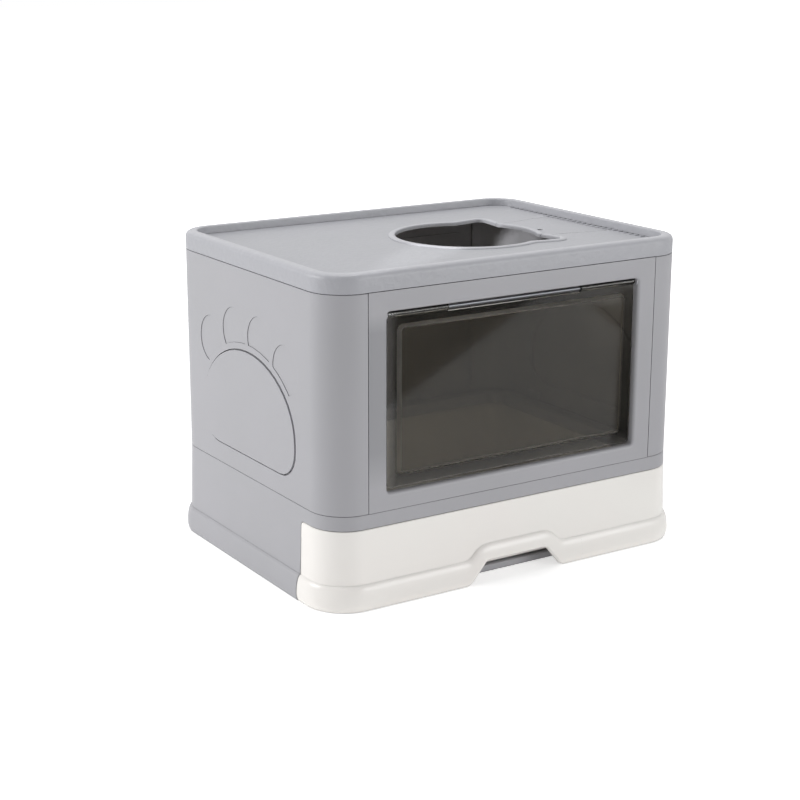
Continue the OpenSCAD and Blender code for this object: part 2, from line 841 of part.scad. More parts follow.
// Lugs below the tray floor that hold the hatch pin
module pin_lugs() {
    for (side = [-1, 1])
        translate([hinge_x, cat_y + side * (hatch_half_w + hatch_gap + lug_w / 2), 0]) {
            translate([0, 0, pin_z]) rotate([90, 0, 0])
                cylinder(r = lug_h / 2, h = lug_w, center = true);
            translate([-lug_h / 2, -lug_w / 2, pin_z]) cube([lug_h, lug_w, tray_bottom - pin_z + lip_root]);
        }
}

module pin_bore() {
    translate([hinge_x, cat_y, pin_z]) rotate([90, 0, 0])
        cylinder(r = pin_r + bore_gap, h = pin_room - 2 * pin_end, center = true);
}

ledge_t = 1.6;
ledge_front = 12;
ledge_rear = 6;

// Ledges that carry the closed hatch along its two slanting seams
module hatch_ledges() {
    x0 = cat_x + cat_r + lip_w + ledge_front;
    x1 = hinge_x - barrel_low - ledge_rear;
    under = 4;
    z = tray_bottom - ledge_t - run_gap;
    for (side = [-1, 1]) translate([0, cat_y, 0]) {
        translate([0, 0, z]) linear_extrude(ledge_t) polygon([
            [x0, side * (hatch_half(x0) - under)], [x1, side * (hatch_half(x1) - under)],
            [x1, side * (hatch_half(x1) + under)], [x0, side * (hatch_half(x0) + under)]]);
        translate([0, 0, z]) linear_extrude(ledge_t + run_gap + lip_root) polygon([
            [x0, side * (hatch_half(x0) + hatch_gap)], [x1, side * (hatch_half(x1) + hatch_gap)],
            [x1, side * (hatch_half(x1) + under)], [x0, side * (hatch_half(x0) + under)]]);
    }
}

// Row of shallow grooves along the foot of the right rim
groove_pitch = 10;
groove_w = 3.6;
groove_depth = 0.7;
module rim_grooves() {
    reach = body_d / 2 - corner_r - groove_pitch / 2;
    length = hinge_in - barrel_low - 2 * hatch_gap;
    for (y = [-reach:groove_pitch:reach])
        translate([rim_foot - length, y, tray_z - groove_depth])
            cube([length + rim_lean / 2, groove_w, 2 * groove_depth]);
}

module lid() {
    color(grey) difference() {
        union() {
            band(body_w, body_d, corner_r) lid_section();
            difference() {
                tray_floor();
                hatch_zone(hatch_gap, barrel_low + hatch_gap);
            }
            pin_lugs();
            hatch_ledges();
        }
        rim_grooves();
        pin_bore();
    }
}

// Small eye to lift the hatch by
eye_l = 9;
eye_w = 6;
eye_off = 14;

module lid_hatch() {
    color(grey) difference() {
        union() {
            intersection() {
                tray_floor();
                hatch_zone(0, eps);
            }
            translate([hinge_x, cat_y, pin_z]) rotate([90, 0, 0])
                cylinder(r = barrel_low, h = 2 * hatch_half_w, center = true);
        }
        pin_bore();
        translate([cat_x + cat_r + lip_w + eye_w, cat_y - eye_off, 0]) linear_extrude(far)
            round_rect(eye_w, eye_l, eye_w / 2 - eps);
    }
}

module hatch_pin() {
    color(steel) translate([hinge_x, cat_y, pin_z]) rotate([90, 0, 0])
        cylinder(r = pin_r, h = pin_room - 3 * pin_end, center = true);
}

base_frame();
drawer();
left_side_shell();
right_side_shell();
front_panel();
rear_panel();
flap_door();
flap_rod();
lid();
lid_hatch();
hatch_pin();
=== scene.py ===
# %% [markdown]
# # Drawer litter box
#
# A covered cat litter box: a grey moulded body on a rolled skirt, a white drawer at the front,
# a smoked flap in a window, and a lid with a cat-head opening. The solids come from the frame,
# one node for each moulding. This lesson adds the camera, the room and the light, then welds
# each solid into a clean moulding with its own finish.

# %% Load the frame
import math

import bpy
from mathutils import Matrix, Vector


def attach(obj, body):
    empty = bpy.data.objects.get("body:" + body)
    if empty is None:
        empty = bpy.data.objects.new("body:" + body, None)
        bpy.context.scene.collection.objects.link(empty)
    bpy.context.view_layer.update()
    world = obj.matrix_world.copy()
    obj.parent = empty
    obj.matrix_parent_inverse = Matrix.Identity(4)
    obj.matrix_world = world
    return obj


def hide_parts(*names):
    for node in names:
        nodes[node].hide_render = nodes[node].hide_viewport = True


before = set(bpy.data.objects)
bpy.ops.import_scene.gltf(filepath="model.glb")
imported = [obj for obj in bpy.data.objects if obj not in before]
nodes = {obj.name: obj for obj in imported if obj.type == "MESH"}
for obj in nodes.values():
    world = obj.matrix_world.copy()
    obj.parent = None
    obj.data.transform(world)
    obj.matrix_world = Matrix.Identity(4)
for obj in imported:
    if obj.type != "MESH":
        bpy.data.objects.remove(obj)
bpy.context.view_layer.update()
print("nodes:", ", ".join(sorted(nodes)))

# %% [markdown]
# ## Camera
#
# The box is seen from its front left, a little from above, at the height of a person who
# crouches a few steps away. A long lens keeps the upright edges almost parallel.

# %% Camera
CAMERA_PLACE = (-1.0914, -1.6424, 0.7060)
CAMERA_TILT = 74.632
CAMERA_TURN = -32.147
CAMERA_LENS = 76.25
CAMERA_SHIFT_X = 0.01875
SENSOR_WIDTH = 36


def add_camera(place, tilt, turn, lens, shift_x):
    """Adds the scene's camera; tilt and turn are in degrees."""
    bpy.ops.object.camera_add(
        location=place, rotation=(math.radians(tilt), 0, math.radians(turn))
    )
    camera = bpy.context.object
    camera.name = "camera"
    camera.data.lens = lens
    camera.data.sensor_width = SENSOR_WIDTH
    camera.data.shift_x = shift_x
    bpy.context.scene.camera = camera
    return camera


camera = add_camera(CAMERA_PLACE, CAMERA_TILT, CAMERA_TURN, CAMERA_LENS, CAMERA_SHIFT_X)
print("camera at", tuple(round(v, 2) for v in camera.location))

# %% [markdown]
# ## Node helpers
#
# Each finish is a small tree of nodes. In the shader editor the nodes are added and wired by
# hand. These helpers do the same in one line each, so a finish reads as what it does.

# %% Node helpers
def add_node(nt, kind, settings=(), **values):
    """A node with its settings and its unlinked input values."""
    node = nt.nodes.new(kind)
    for key, value in dict(settings).items():
        setattr(node, key, value)
    for key, value in values.items():
        node.inputs[key.replace("_", " ")].default_value = value
    return node


def feed(nt, value, socket):
    """Links a socket to an input, or sets the input to a plain value."""
    if isinstance(value, bpy.types.NodeSocket):
        nt.links.new(value, socket)
    else:
        socket.default_value = value


def math_node(nt, operation, a, b=0.0):
    """A math node of two inputs, each a socket or a number."""
    node = add_node(nt, "ShaderNodeMath", {"operation": operation})
    feed(nt, a, node.inputs[0])
    feed(nt, b, node.inputs[1])
    return node.outputs[0]


def map_range(nt, value, start, end, low=0.0, high=1.0):
    """A socket's value, brought from start and end to low and high, and held there beyond."""
    node = add_node(
        nt, "ShaderNodeMapRange", From_Min=start, From_Max=end, To_Min=low, To_Max=high
    )
    nt.links.new(value, node.inputs["Value"])
    return node.outputs["Result"]


def split_xyz(nt, vector):
    """The X, Y and Z outputs of a vector socket, by name."""
    node = nt.nodes.new("ShaderNodeSeparateXYZ")
    nt.links.new(vector, node.inputs[0])
    return node.outputs


def new_material(name, **values):
    """A material, its node tree and its shader, with plain values on the shader's sockets."""
    mat = bpy.data.materials.new(name)
    mat.use_nodes = True
    bsdf = mat.node_tree.nodes["Principled BSDF"]
    for key, value in values.items():
        bsdf.inputs[key.replace("_", " ")].default_value = value
    return mat, mat.node_tree, bsdf


print("node helpers are ready")

# %% [markdown]
# ## Room
#
# The world is pure white to the camera, to glossy rays and through clear plastic, but lights
# the box with a softer grey, so that pale plastic keeps its tone. The floor is a pale plane
# that glows a little, more so to the eye and far from the box. It stays white without more
# light on the box, and keeps a faint shadow under the skirt.

# %% World
WHITE = (1, 1, 1, 1)
WORLD_TINT = (0.98, 0.99, 1.0, 1)
WORLD_LIGHT = 0.29

world = bpy.data.worlds.new("room")
bpy.context.scene.world = world
world.use_nodes = True
tree = world.node_tree
tree.nodes.clear()
out = tree.nodes.new("ShaderNodeOutputWorld")
mix = tree.nodes.new("ShaderNodeMixShader")
light = add_node(tree, "ShaderNodeBackground", Color=WORLD_TINT, Strength=WORLD_LIGHT)
seen = add_node(tree, "ShaderNodeBackground", Color=WHITE, Strength=1.0)
path = tree.nodes.new("ShaderNodeLightPath")
shown = path.outputs["Is Camera Ray"]
for ray in ("Is Glossy Ray", "Is Transmission Ray"):
    shown = math_node(tree, "MAXIMUM", shown, path.outputs[ray])
tree.links.new(shown, mix.inputs["Fac"])
tree.links.new(light.outputs[0], mix.inputs[1])
tree.links.new(seen.outputs[0], mix.inputs[2])
tree.links.new(mix.outputs[0], out.inputs["Surface"])
print("world", world.name, "lights at", WORLD_LIGHT)

# %% Floor
FLOOR_SIZE = 30
FLOOR_GREY = (0.86, 0.86, 0.86, 1)
FLOOR_GLOW = 0.25
NEAR, FAR = 0.6, 2.6
LIFT_NEAR, LIFT_FAR = 0.3, 1.3
MATT = 0.9


def add_floor(size):
    """A wide white floor that glows a little, and more so to the eye and far from the box."""
    bpy.ops.mesh.primitive_plane_add(size=size)
    floor = bpy.context.object
    floor.name = "floor"
    mat, nt, bsdf = new_material(
        "floor_white",
        Base_Color=FLOOR_GREY,
        Roughness=MATT,
        Specular_IOR_Level=0.0,
        Emission_Color=WHITE,
    )
    coords = nt.nodes.new("ShaderNodeTexCoord")
    away = add_node(nt, "ShaderNodeVectorMath", {"operation": "LENGTH"})
    nt.links.new(coords.outputs["Object"], away.inputs[0])
    fade = map_range(nt, away.outputs["Value"], NEAR, FAR, LIFT_NEAR, LIFT_FAR)
    ray = nt.nodes.new("ShaderNodeLightPath")
    lift = add_node(nt, "ShaderNodeMath", {"operation": "MULTIPLY_ADD"})
    nt.links.new(ray.outputs["Is Camera Ray"], lift.inputs[0])
    nt.links.new(fade, lift.inputs[1])
    lift.inputs[2].default_value = FLOOR_GLOW
    nt.links.new(lift.outputs[0], bsdf.inputs["Emission Strength"])
    floor.data.materials.append(mat)
    return floor


floor = add_floor(FLOOR_SIZE)
print("floor", floor.dimensions.x, "m wide")

# %% [markdown]
# ## Dark cards
#
# A clear sheet only looks like one when it mirrors something darker than the floor. Matt
# black cards lie in front of the box, out of sight: one shows in the upper left of the flap
# and one along its right, and a small third one rounds off the upper right corner. Only
# mirror rays see them, so the box's own light stays as it is.

# %% Dark cards
CARD_HEIGHT = 0.004
CARD_BLACK = (0.01, 0.01, 0.01, 1)

card_black = new_material("card_black", Base_Color=CARD_BLACK, Roughness=MATT)[0]


def add_card(name, place, size, turn):
    """A black card just over the floor, turned about its middle by degrees."""
    bpy.ops.mesh.primitive_plane_add(size=1, location=(place[0], place[1], CARD_HEIGHT))
    card = bpy.context.object
    card.name = name
    card.scale = (size[0], size[1], 1)
    card.rotation_euler.z = math.radians(turn)
    bpy.ops.object.transform_apply(location=False, rotation=True, scale=True)
    card.data.materials.append(card_black)
    card.visible_camera = False
    card.visible_diffuse = False
    card.visible_transmission = False
    card.visible_shadow = False
    return card


cards = [
    add_card("card_left", (0.338, -1.349), (1.21, 0.7), -37.5),
    add_card("card_right", (0.92, -0.71), (1.26, 0.5), -49.7),
    add_card("card_corner", (1.077, -1.112), (0.2, 0.3), 114.6),
]
print(len(cards), "dark cards")

# %% [markdown]
# ## Light
#
# Three large soft lamps, as in a product studio. The key stands to the left, so the side with
# the paw is the brightest upright face. The top lamp lights the lid. The fill in front keeps
# the drawer white and the window readable. A fourth lamp is a narrow beam that falls through
# the lid's opening and lights a patch of the inner wall, which shows that the box is hollow.

# %% Lamps
HEART = (0, 0, 0.18)
INNER_WALL = (0.239, 0.133, 0.298)
SNOOT_BLEND = 0.25
SNOOT_SOFTNESS = 0.01


def add_lamp(name, kind, place, aim, power):
    """A lamp of a kind at place that looks at aim."""
    bpy.ops.object.light_add(type=kind, location=place)
    lamp = bpy.context.object
    lamp.name = name
    lamp.data.energy = power
    direction = Vector(aim) - Vector(place)
    lamp.rotation_euler = direction.to_track_quat("-Z", "Y").to_euler()
    return lamp


def add_panel(name, place, aim, size, power):
    """A soft rectangular lamp."""
    lamp = add_lamp(name, "AREA", place, aim, power)
    lamp.data.shape = "RECTANGLE"
    lamp.data.size, lamp.data.size_y = size
    return lamp


def add_snoot(name, place, aim, cone, power):
    """A narrow beam; cone is its whole angle in degrees."""
    lamp = add_lamp(name, "SPOT", place, aim, power)
    lamp.data.spot_size = math.radians(cone)
    lamp.data.spot_blend = SNOOT_BLEND
    lamp.data.shadow_soft_size = SNOOT_SOFTNESS
    return lamp


lamps = [
    add_panel("key_left", (-2.7, 1.3, 1.5), HEART, (1.6, 1.4), 54),
    add_panel("side_front", (1.6, -2.7, 0.9), HEART, (1.6, 1.4), 29),
    add_panel("top", (0.1, 0.4, 2.8), HEART, (2.0, 1.8), 29),
    add_snoot("through_hole", (-1.71, -1.24, 0.766), INNER_WALL, 1.9, 138),
]
print(len(lamps), "lamps")

# %% [markdown]
# ## Effects that the finishes share
#
# A moulding is never one flat colour. Its skin has a fine grain from the tool and its tone
# drifts a little over a hand's width. Its edges are lighter, partly from rubbing and partly as
# a painted highlight, and its seams get a painted shade. Each effect is a node group with its
# own inputs, so that every plastic can use it with its own values.

# %% Colours and node groups
FLOAT = "NodeSocketFloat"
VECTOR = "NodeSocketVector"


def srgb(r, g, b):
    """A colour given as 0 to 255 on a screen, as the linear colour that Blender wants."""
    def linear(v):
        v = v / 255
        return v / 12.92 if v <= 0.04045 else ((v + 0.055) / 1.055) ** 2.4

    return (linear(r), linear(g), linear(b), 1)


def mix_colors(nt, factor, a, b):
    """The colour between a and b, each a socket or a colour, by a factor socket."""
    node = add_node(nt, "ShaderNodeMix", {"data_type": "RGBA"})
    nt.links.new(factor, node.inputs[0])
    feed(nt, a, node.inputs[6])
    feed(nt, b, node.inputs[7])
    return node.outputs[2]


def new_group(name, inputs, outputs):
    """An empty node group; inputs are (name, kind, value) and outputs are (name, kind)."""
    group = bpy.data.node_groups.new(name, "ShaderNodeTree")
    for label, kind, value in inputs:
        socket = group.interface.new_socket(label, in_out="INPUT", socket_type=kind)
        if value is not None:
            socket.default_value = value
    for label, kind in outputs:
        group.interface.new_socket(label, in_out="OUTPUT", socket_type=kind)
    return group, group.nodes.new("NodeGroupInput"), group.nodes.new("NodeGroupOutput")


def place_group(nt, group, **values):
    """A group's node in a material, with its own values."""
    return add_node(nt, "ShaderNodeGroup", {"node_tree": group}, **values)


print("mid grey on a screen is", round(srgb(128, 128, 128)[0], 3), "as linear light")

# %% Moulded grain
def make_grain():
    """Fine tool grain as a height, and two slow drifts for tone and gloss."""
    group, gin, gout = new_group(
        "moulded_grain",
        [("Vector", VECTOR, None), ("Fineness", FLOAT, 1600.0)],
        [("Height", FLOAT), ("Tone", FLOAT), ("Gloss", FLOAT)],
    )
    fine = add_node(group, "ShaderNodeTexNoise", Detail=3.0, Roughness=0.55)
    tone = add_node(group, "ShaderNodeTexNoise", Scale=7.0, Detail=2.0, Roughness=0.5)
    gloss = add_node(group, "ShaderNodeTexNoise", Scale=38.0, Detail=4.0, Roughness=0.6)
    group.links.new(gin.outputs["Fineness"], fine.inputs["Scale"])
    for node, label in ((fine, "Height"), (tone, "Tone"), (gloss, "Gloss")):
        group.links.new(gin.outputs["Vector"], node.inputs["Vector"])
        group.links.new(node.outputs["Fac"], gout.inputs[label])
    return group


GRAIN = make_grain()
print("group", GRAIN.name)

# %% Rubbed edges and painted edge highlight
EDGE_SAMPLES = 4


def make_edges():
    """A mask that is 1 on an outward or inward edge and 0 on a flat face; it carries wear and a
    painted highlight.
    """
    group, gin, gout = new_group(
        "rubbed_edges_and_highlight", [("Radius", FLOAT, 0.001), ("Amount", FLOAT, 1.0)], [("Mask", FLOAT)]
    )
    bevel = add_node(group, "ShaderNodeBevel", {"samples": EDGE_SAMPLES})
    geometry = group.nodes.new("ShaderNodeNewGeometry")
    dot = add_node(group, "ShaderNodeVectorMath", {"operation": "DOT_PRODUCT"})
    group.links.new(gin.outputs["Radius"], bevel.inputs["Radius"])
    group.links.new(bevel.outputs["Normal"], dot.inputs[0])
    group.links.new(geometry.outputs["Normal"], dot.inputs[1])
    turned = math_node(group, "SUBTRACT", 1.0, dot.outputs["Value"])
    strong = math_node(group, "MULTIPLY", turned, gin.outputs["Amount"])
    group.links.new(math_node(group, "MINIMUM", strong, 1.0), gout.inputs["Mask"])
    return group


EDGES = make_edges()
print("group", EDGES.name)

# %% Painted shade in the seams
SEAM_SAMPLES = 8


def make_seam_shade():
    """A painted shade mask that is 1 deep in a seam or hole and 0 on an open face; Open and Shut
    set both.
    """
    group, gin, gout = new_group(
        "seam_shade",
        [
            ("Reach", FLOAT, 0.0012),
            ("Open", FLOAT, 0.85),
            ("Shut", FLOAT, 0.45),
            ("Amount", FLOAT, 1.0),
        ],
        [("Mask", FLOAT)],
    )
    shut = add_node(group, "ShaderNodeAmbientOcclusion", {"samples": SEAM_SAMPLES})
    group.links.new(gin.outputs["Reach"], shut.inputs["Distance"])
    painted_seam_shade = add_node(group, "ShaderNodeMapRange")
    group.links.new(gin.outputs["Open"], painted_seam_shade.inputs["From Min"])
    group.links.new(gin.outputs["Shut"], painted_seam_shade.inputs["From Max"])
    group.links.new(shut.outputs["AO"], painted_seam_shade.inputs["Value"])
    strong = math_node(group, "MULTIPLY", painted_seam_shade.outputs["Result"], gin.outputs["Amount"])
    group.links.new(strong, gout.inputs["Mask"])
    return group


SEAMS = make_seam_shade()
print("group", SEAMS.name)

# %% Painted highlight on the rim
RIM_STEP = 0.0006
RIM_UP = (0.6, 0.98)


def make_raised():
    """A painted highlight mask that is 1 on faces that stand above a height and look upwards."""
    group, gin, gout = new_group(
        "raised_rim_highlight",
        [("Place", VECTOR, None), ("Normal", VECTOR, None), ("Height", FLOAT, 0.0)],
        [("Mask", FLOAT)],
    )
    place = split_xyz(group, gin.outputs["Place"])
    turn = split_xyz(group, gin.outputs["Normal"])
    over = math_node(group, "SUBTRACT", place["Z"], gin.outputs["Height"])
    high = map_range(group, over, 0.0, RIM_STEP)
    up = map_range(group, turn["Z"], *RIM_UP)
    group.links.new(math_node(group, "MULTIPLY", high, up), gout.inputs["Mask"])
    return group


RAISED = make_raised()
print("group", RAISED.name)

# %% Painted shade beside the window
# Each pair is where the painted shade ends and where it is at its full strength.
STILE_SHADE_X = (-0.166, -0.172)
STILE_SHADE_FOOT = (0.135, 0.175)
STILE_SHADE_HEAD = (0.325, 0.305)


def make_stile_shade():
    """A painted shade mask that is 1 on the panel's left stile and fades out at its foot and
    head.
    """
    group, gin, gout = new_group("stile_painted_shade", [("Place", VECTOR, None)], [("Mask", FLOAT)])
    place = split_xyz(group, gin.outputs["Place"])
    across = map_range(group, place["X"], *STILE_SHADE_X)
    foot = map_range(group, place["Z"], *STILE_SHADE_FOOT)
    head = map_range(group, place["Z"], *STILE_SHADE_HEAD)
    upright = math_node(group, "MULTIPLY", foot, head)
    group.links.new(math_node(group, "MULTIPLY", across, upright), gout.inputs["Mask"])
    return group


STILE_SHADE = make_stile_shade()
print("group", STILE_SHADE.name)

# %% [markdown]
# ## Plastics
#
# The body is satin polypropylene, light grey with a touch of violet, and the drawer is a
# warmer white with more gloss. All the mouldings share one recipe: the tone drifts between two
# near colours, edges are a shade lighter, partly from rubbing and partly as a painted highlight,
# seams get a painted shade, the gloss varies a little and the grain makes a fine bump. Some have
# more. The skirt's crease on the base and the drawer is eased in its shading, the panel has a
# painted shade beside the window, and the lid and the hatch have a leather-like skin and a
# painted highlight on the upward faces of the rim. The hatch's small eye has painted shade
# inside.

# %% Opaque plastic
PLASTIC_IOR = 1.5
EDGE_RADIUS = 0.0009
EDGE_AMOUNT = 1.6
GLOSS_DRIFT = 0.05
PEEL_FINENESS = 150
ROLL_SAMPLES = 8
ROLL_FADE = 0.004


def rolled_normal(nt, coords, radius, top):
    """The surface's direction, eased over a radius at creases that lie below the height top."""
    eased = add_node(nt, "ShaderNodeBevel", {"samples": ROLL_SAMPLES}, Radius=radius)
    plain = nt.nodes.new("ShaderNodeNewGeometry")
    place = split_xyz(nt, coords.outputs["Object"])
    blend = add_node(nt, "ShaderNodeMix", {"data_type": "VECTOR"})
    nt.links.new(map_range(nt, place["Z"], top, top - ROLL_FADE), blend.inputs[0])
    nt.links.new(plain.outputs["Normal"], blend.inputs[4])
    nt.links.new(eased.outputs["Normal"], blend.inputs[5])
    return blend.outputs[1]


def make_plastic(
    name,
    low,
    high,
    worn_and_highlight,
    painted_seam_shade,
    roughness,
    fineness,
    depth,
    rim_highlight=None,
    peel_depth=0.0,
    pits=None,
    seam_open=0.85,
    roll=None,
    stile_shade=None,
):
    """Moulded plastic: two tones, lighter edges from rubbing and a painted highlight, painted
    shade in seams, gloss and grain.

    A rim_highlight is (height, colour) of a painted highlight on the upward faces of a raised
    top, peel_depth gives a soft leather-like skin, and pits is (reach, open, shut) of the
    painted shade inside small holes. A roll is (radius, top): below the height top, creases
    look rolled over that radius. A stile_shade is the colour of the painted shade on the
    panel's left stile.
    """
    mat, nt, bsdf = new_material(name, IOR=PLASTIC_IOR)
    coords = nt.nodes.new("ShaderNodeTexCoord")
    grain = place_group(nt, GRAIN, Fineness=fineness)
    nt.links.new(coords.outputs["Object"], grain.inputs["Vector"])
    edges = place_group(nt, EDGES, Radius=EDGE_RADIUS, Amount=EDGE_AMOUNT)

    color = mix_colors(nt, grain.outputs["Tone"], low, high)
    # Edges are lighter: partly rubbing wear, partly a painted highlight where edges catch light.
    color = mix_colors(nt, edges.outputs["Mask"], color, worn_and_highlight)
    # Painted shade on the panel's left stile beside the window.
    if stile_shade:
        stile_shade_node = place_group(nt, STILE_SHADE)
        nt.links.new(coords.outputs["Object"], stile_shade_node.inputs["Place"])
        color = mix_colors(nt, stile_shade_node.outputs["Mask"], color, stile_shade)
    # Painted highlight on the upward faces of the raised rim.
    if rim_highlight:
        rim_height, rim_highlight_tone = rim_highlight
        raised = place_group(nt, RAISED, Height=rim_height)
        nt.links.new(coords.outputs["Object"], raised.inputs["Place"])
        nt.links.new(coords.outputs["Normal"], raised.inputs["Normal"])
        color = mix_colors(nt, raised.outputs["Mask"], color, rim_highlight_tone)
    # Painted shade inside small holes and gaps, such as the hatch's eye.
    if pits:
        reach, open_at, shut_at = pits
        holes = place_group(nt, SEAMS, Reach=reach, Open=open_at, Shut=shut_at)
        color = mix_colors(nt, holes.outputs["Mask"], color, painted_seam_shade)
    # Painted shade where seams, gaps and creases are shut in.
    seams = place_group(nt, SEAMS, Open=seam_open)
    color = mix_colors(nt, seams.outputs["Mask"], color, painted_seam_shade)
    nt.links.new(color, bsdf.inputs["Base Color"])

    gloss = add_node(
        nt, "ShaderNodeMapRange", To_Min=roughness - GLOSS_DRIFT, To_Max=roughness + GLOSS_DRIFT
    )
    nt.links.new(grain.outputs["Gloss"], gloss.inputs["Value"])
    nt.links.new(gloss.outputs["Result"], bsdf.inputs["Roughness"])

    height = math_node(nt, "MULTIPLY", grain.outputs["Height"], depth)
    if peel_depth:
        skin = add_node(nt, "ShaderNodeTexNoise", Scale=PEEL_FINENESS, Detail=2.0)
        nt.links.new(coords.outputs["Object"], skin.inputs["Vector"])
        peel = math_node(nt, "MULTIPLY", skin.outputs["Fac"], peel_depth)
        height = math_node(nt, "ADD", height, peel)
    bump = add_node(nt, "ShaderNodeBump", Strength=1.0, Distance=1.0)
    nt.links.new(height, bump.inputs["Height"])
    if roll:
        nt.links.new(rolled_normal(nt, coords, *roll), bump.inputs["Normal"])
    nt.links.new(bump.outputs["Normal"], bsdf.inputs["Normal"])
    return mat


print("the opaque recipe is ready")

# %% Grey and white plastics
GREY_SEAM_SHADE = srgb(46, 46, 50)
SATIN_GREY = dict(
    low=srgb(168, 168, 171),
    high=srgb(175, 174, 179),
    worn_and_highlight=srgb(196, 196, 201),
    painted_seam_shade=GREY_SEAM_SHADE,
    roughness=0.42,
    fineness=1500,
    depth=0.00004,
)
LEATHERY_GREY = dict(
    low=srgb(170, 171, 175),
    high=srgb(177, 177, 183),
    # Much lighter edges on the lid and hatch: mostly a painted highlight on the rim and lip.
    worn_and_highlight=srgb(222, 222, 228),
    painted_seam_shade=GREY_SEAM_SHADE,
    roughness=0.4,
    fineness=1200,
    depth=0.00005,
    # Painted highlight on the rim's upward faces.
    rim_highlight=(0.3614, srgb(190, 190, 195)),
    peel_depth=0.0008,
)

body_grey = make_plastic("grey_satin_plastic", **SATIN_GREY)
panel_grey = make_plastic("grey_panel_plastic", stile_shade=srgb(152, 152, 156), **SATIN_GREY)
base_grey = make_plastic("grey_base_plastic", roll=(0.004, 0.045), **SATIN_GREY)
lid_grey = make_plastic("grey_lid_plastic", **LEATHERY_GREY)
# The hatch's pits are painted shade inside its eye and gaps.
hatch_grey = make_plastic("grey_hatch_plastic", pits=(0.012, 0.75, 0.5), **LEATHERY_GREY)
drawer_white = make_plastic(
    "warm_white_gloss",
    low=srgb(250, 244, 240),
    high=srgb(249, 248, 243),
    worn_and_highlight=srgb(252, 252, 248),
    painted_seam_shade=srgb(110, 108, 102),
    roughness=0.24,
    fineness=900,
    depth=0.00002,
    seam_open=0.65,
    roll=(0.004, 0.075),
)
plastics = (body_grey, panel_grey, base_grey, lid_grey, hatch_grey, drawer_white)
print("plastics:", ", ".join(plastic.name for plastic in plastics))

# %% [markdown]
# ## Smoked flap
#
# The flap is tinted clear plastic, 2.4 mm thick. It bends and filters what is behind it, so it
# is plain transmission with a warm grey tint. The flat edge round its raised middle is darker.
# The slanting wall between the two is rougher and has a lighter tint as a painted highlight,
# and the outer edge has a painted pale light at the left and a little at the foot. Fine
# hairlines from wiping give its sheen a direction.

# %% The flap's raised middle
MIDDLE_HALF = 0.1525
MIDDLE_LOW = 0.1455
MIDDLE_HIGH = 0.3075
OUTER_HALF = 0.1685
OUTER_LOW = 0.1275
MIDDLE_BLUR = 0.001
WALL_SLANT = (0.98, 0.8)
WALL_REACH = (-0.006, -0.005)
FOOT_SHARE = 0.3


def make_middle():
    """Masks over the flap: its raised middle, the slanting wall round it, its outer edge with
    painted light.
    """
    group, gin, gout = new_group(
        "flap_middle",
        [("Place", VECTOR, None), ("Normal", VECTOR, None)],
        [("Middle", FLOAT), ("Wall", FLOAT), ("Edge", FLOAT)],
    )
    place = split_xyz(group, gin.outputs["Place"])
    side = math_node(group, "ABSOLUTE", place["X"])
    inside = math_node(group, "SUBTRACT", MIDDLE_HALF, side)
    above = math_node(group, "SUBTRACT", place["Z"], MIDDLE_LOW)
    below = math_node(group, "SUBTRACT", MIDDLE_HIGH, place["Z"])
    near = math_node(group, "MINIMUM", math_node(group, "MINIMUM", above, below), inside)
    middle = map_range(group, near, -MIDDLE_BLUR, MIDDLE_BLUR)
    group.links.new(middle, gout.inputs["Middle"])

    turn = split_xyz(group, gin.outputs["Normal"])
    slant = map_range(group, math_node(group, "ABSOLUTE", turn["Y"]), *WALL_SLANT)
    round_it = map_range(group, near, *WALL_REACH)
    group.links.new(math_node(group, "MULTIPLY", slant, round_it), gout.inputs["Wall"])

    left = map_range(group, place["X"], -MIDDLE_HALF, -OUTER_HALF)
    foot = map_range(group, place["Z"], MIDDLE_LOW, OUTER_LOW, high=FOOT_SHARE)
    group.links.new(math_node(group, "MAXIMUM", left, foot), gout.inputs["Edge"])
    return group


MIDDLE = make_middle()
print("group", MIDDLE.name)

# %% Clear smoke
SMOKE_IOR = 1.45
MARK_STRETCH = (60, 60, 900)
MARK_TURN = (0, 0.35, 0)
MARK_SPAN = (0.35, 0.75)
MARK_GLOSS = (0.03, 0.1)
HAZE_GLOSS = 0.3


def make_smoke(name, tint, rim_tint, wall_haze_and_highlight, edge_painted_light):
    """Tinted clear plastic: darker rim, rougher wall with a painted highlight, painted pale
    light on the edge, wiping marks in its gloss.
    """
    mat, nt, bsdf = new_material(name, IOR=SMOKE_IOR, Transmission_Weight=1.0)
    coords = nt.nodes.new("ShaderNodeTexCoord")
    masks = place_group(nt, MIDDLE)
    nt.links.new(coords.outputs["Object"], masks.inputs["Place"])
    nt.links.new(coords.outputs["Normal"], masks.inputs["Normal"])
    color = mix_colors(nt, masks.outputs["Middle"], rim_tint, tint)
    # Rougher slanted wall, and a painted highlight in its lighter tint.
    color = mix_colors(nt, masks.outputs["Wall"], color, wall_haze_and_highlight)
    # Painted pale light on the outer edge at the left and the foot.
    color = mix_colors(nt, masks.outputs["Edge"], color, edge_painted_light)
    nt.links.new(color, bsdf.inputs["Base Color"])

    stretch = add_node(nt, "ShaderNodeMapping", Scale=MARK_STRETCH, Rotation=MARK_TURN)
    marks = add_node(nt, "ShaderNodeTexNoise", Scale=1.0, Detail=2.0)
    nt.links.new(coords.outputs["Object"], stretch.inputs["Vector"])
    nt.links.new(stretch.outputs["Vector"], marks.inputs["Vector"])
    wiped = map_range(nt, marks.outputs["Fac"], *MARK_SPAN, *MARK_GLOSS)
    hazy = map_range(nt, masks.outputs["Wall"], 0.0, 1.0, high=HAZE_GLOSS)
    nt.links.new(math_node(nt, "ADD", wiped, hazy), bsdf.inputs["Roughness"])
    return mat


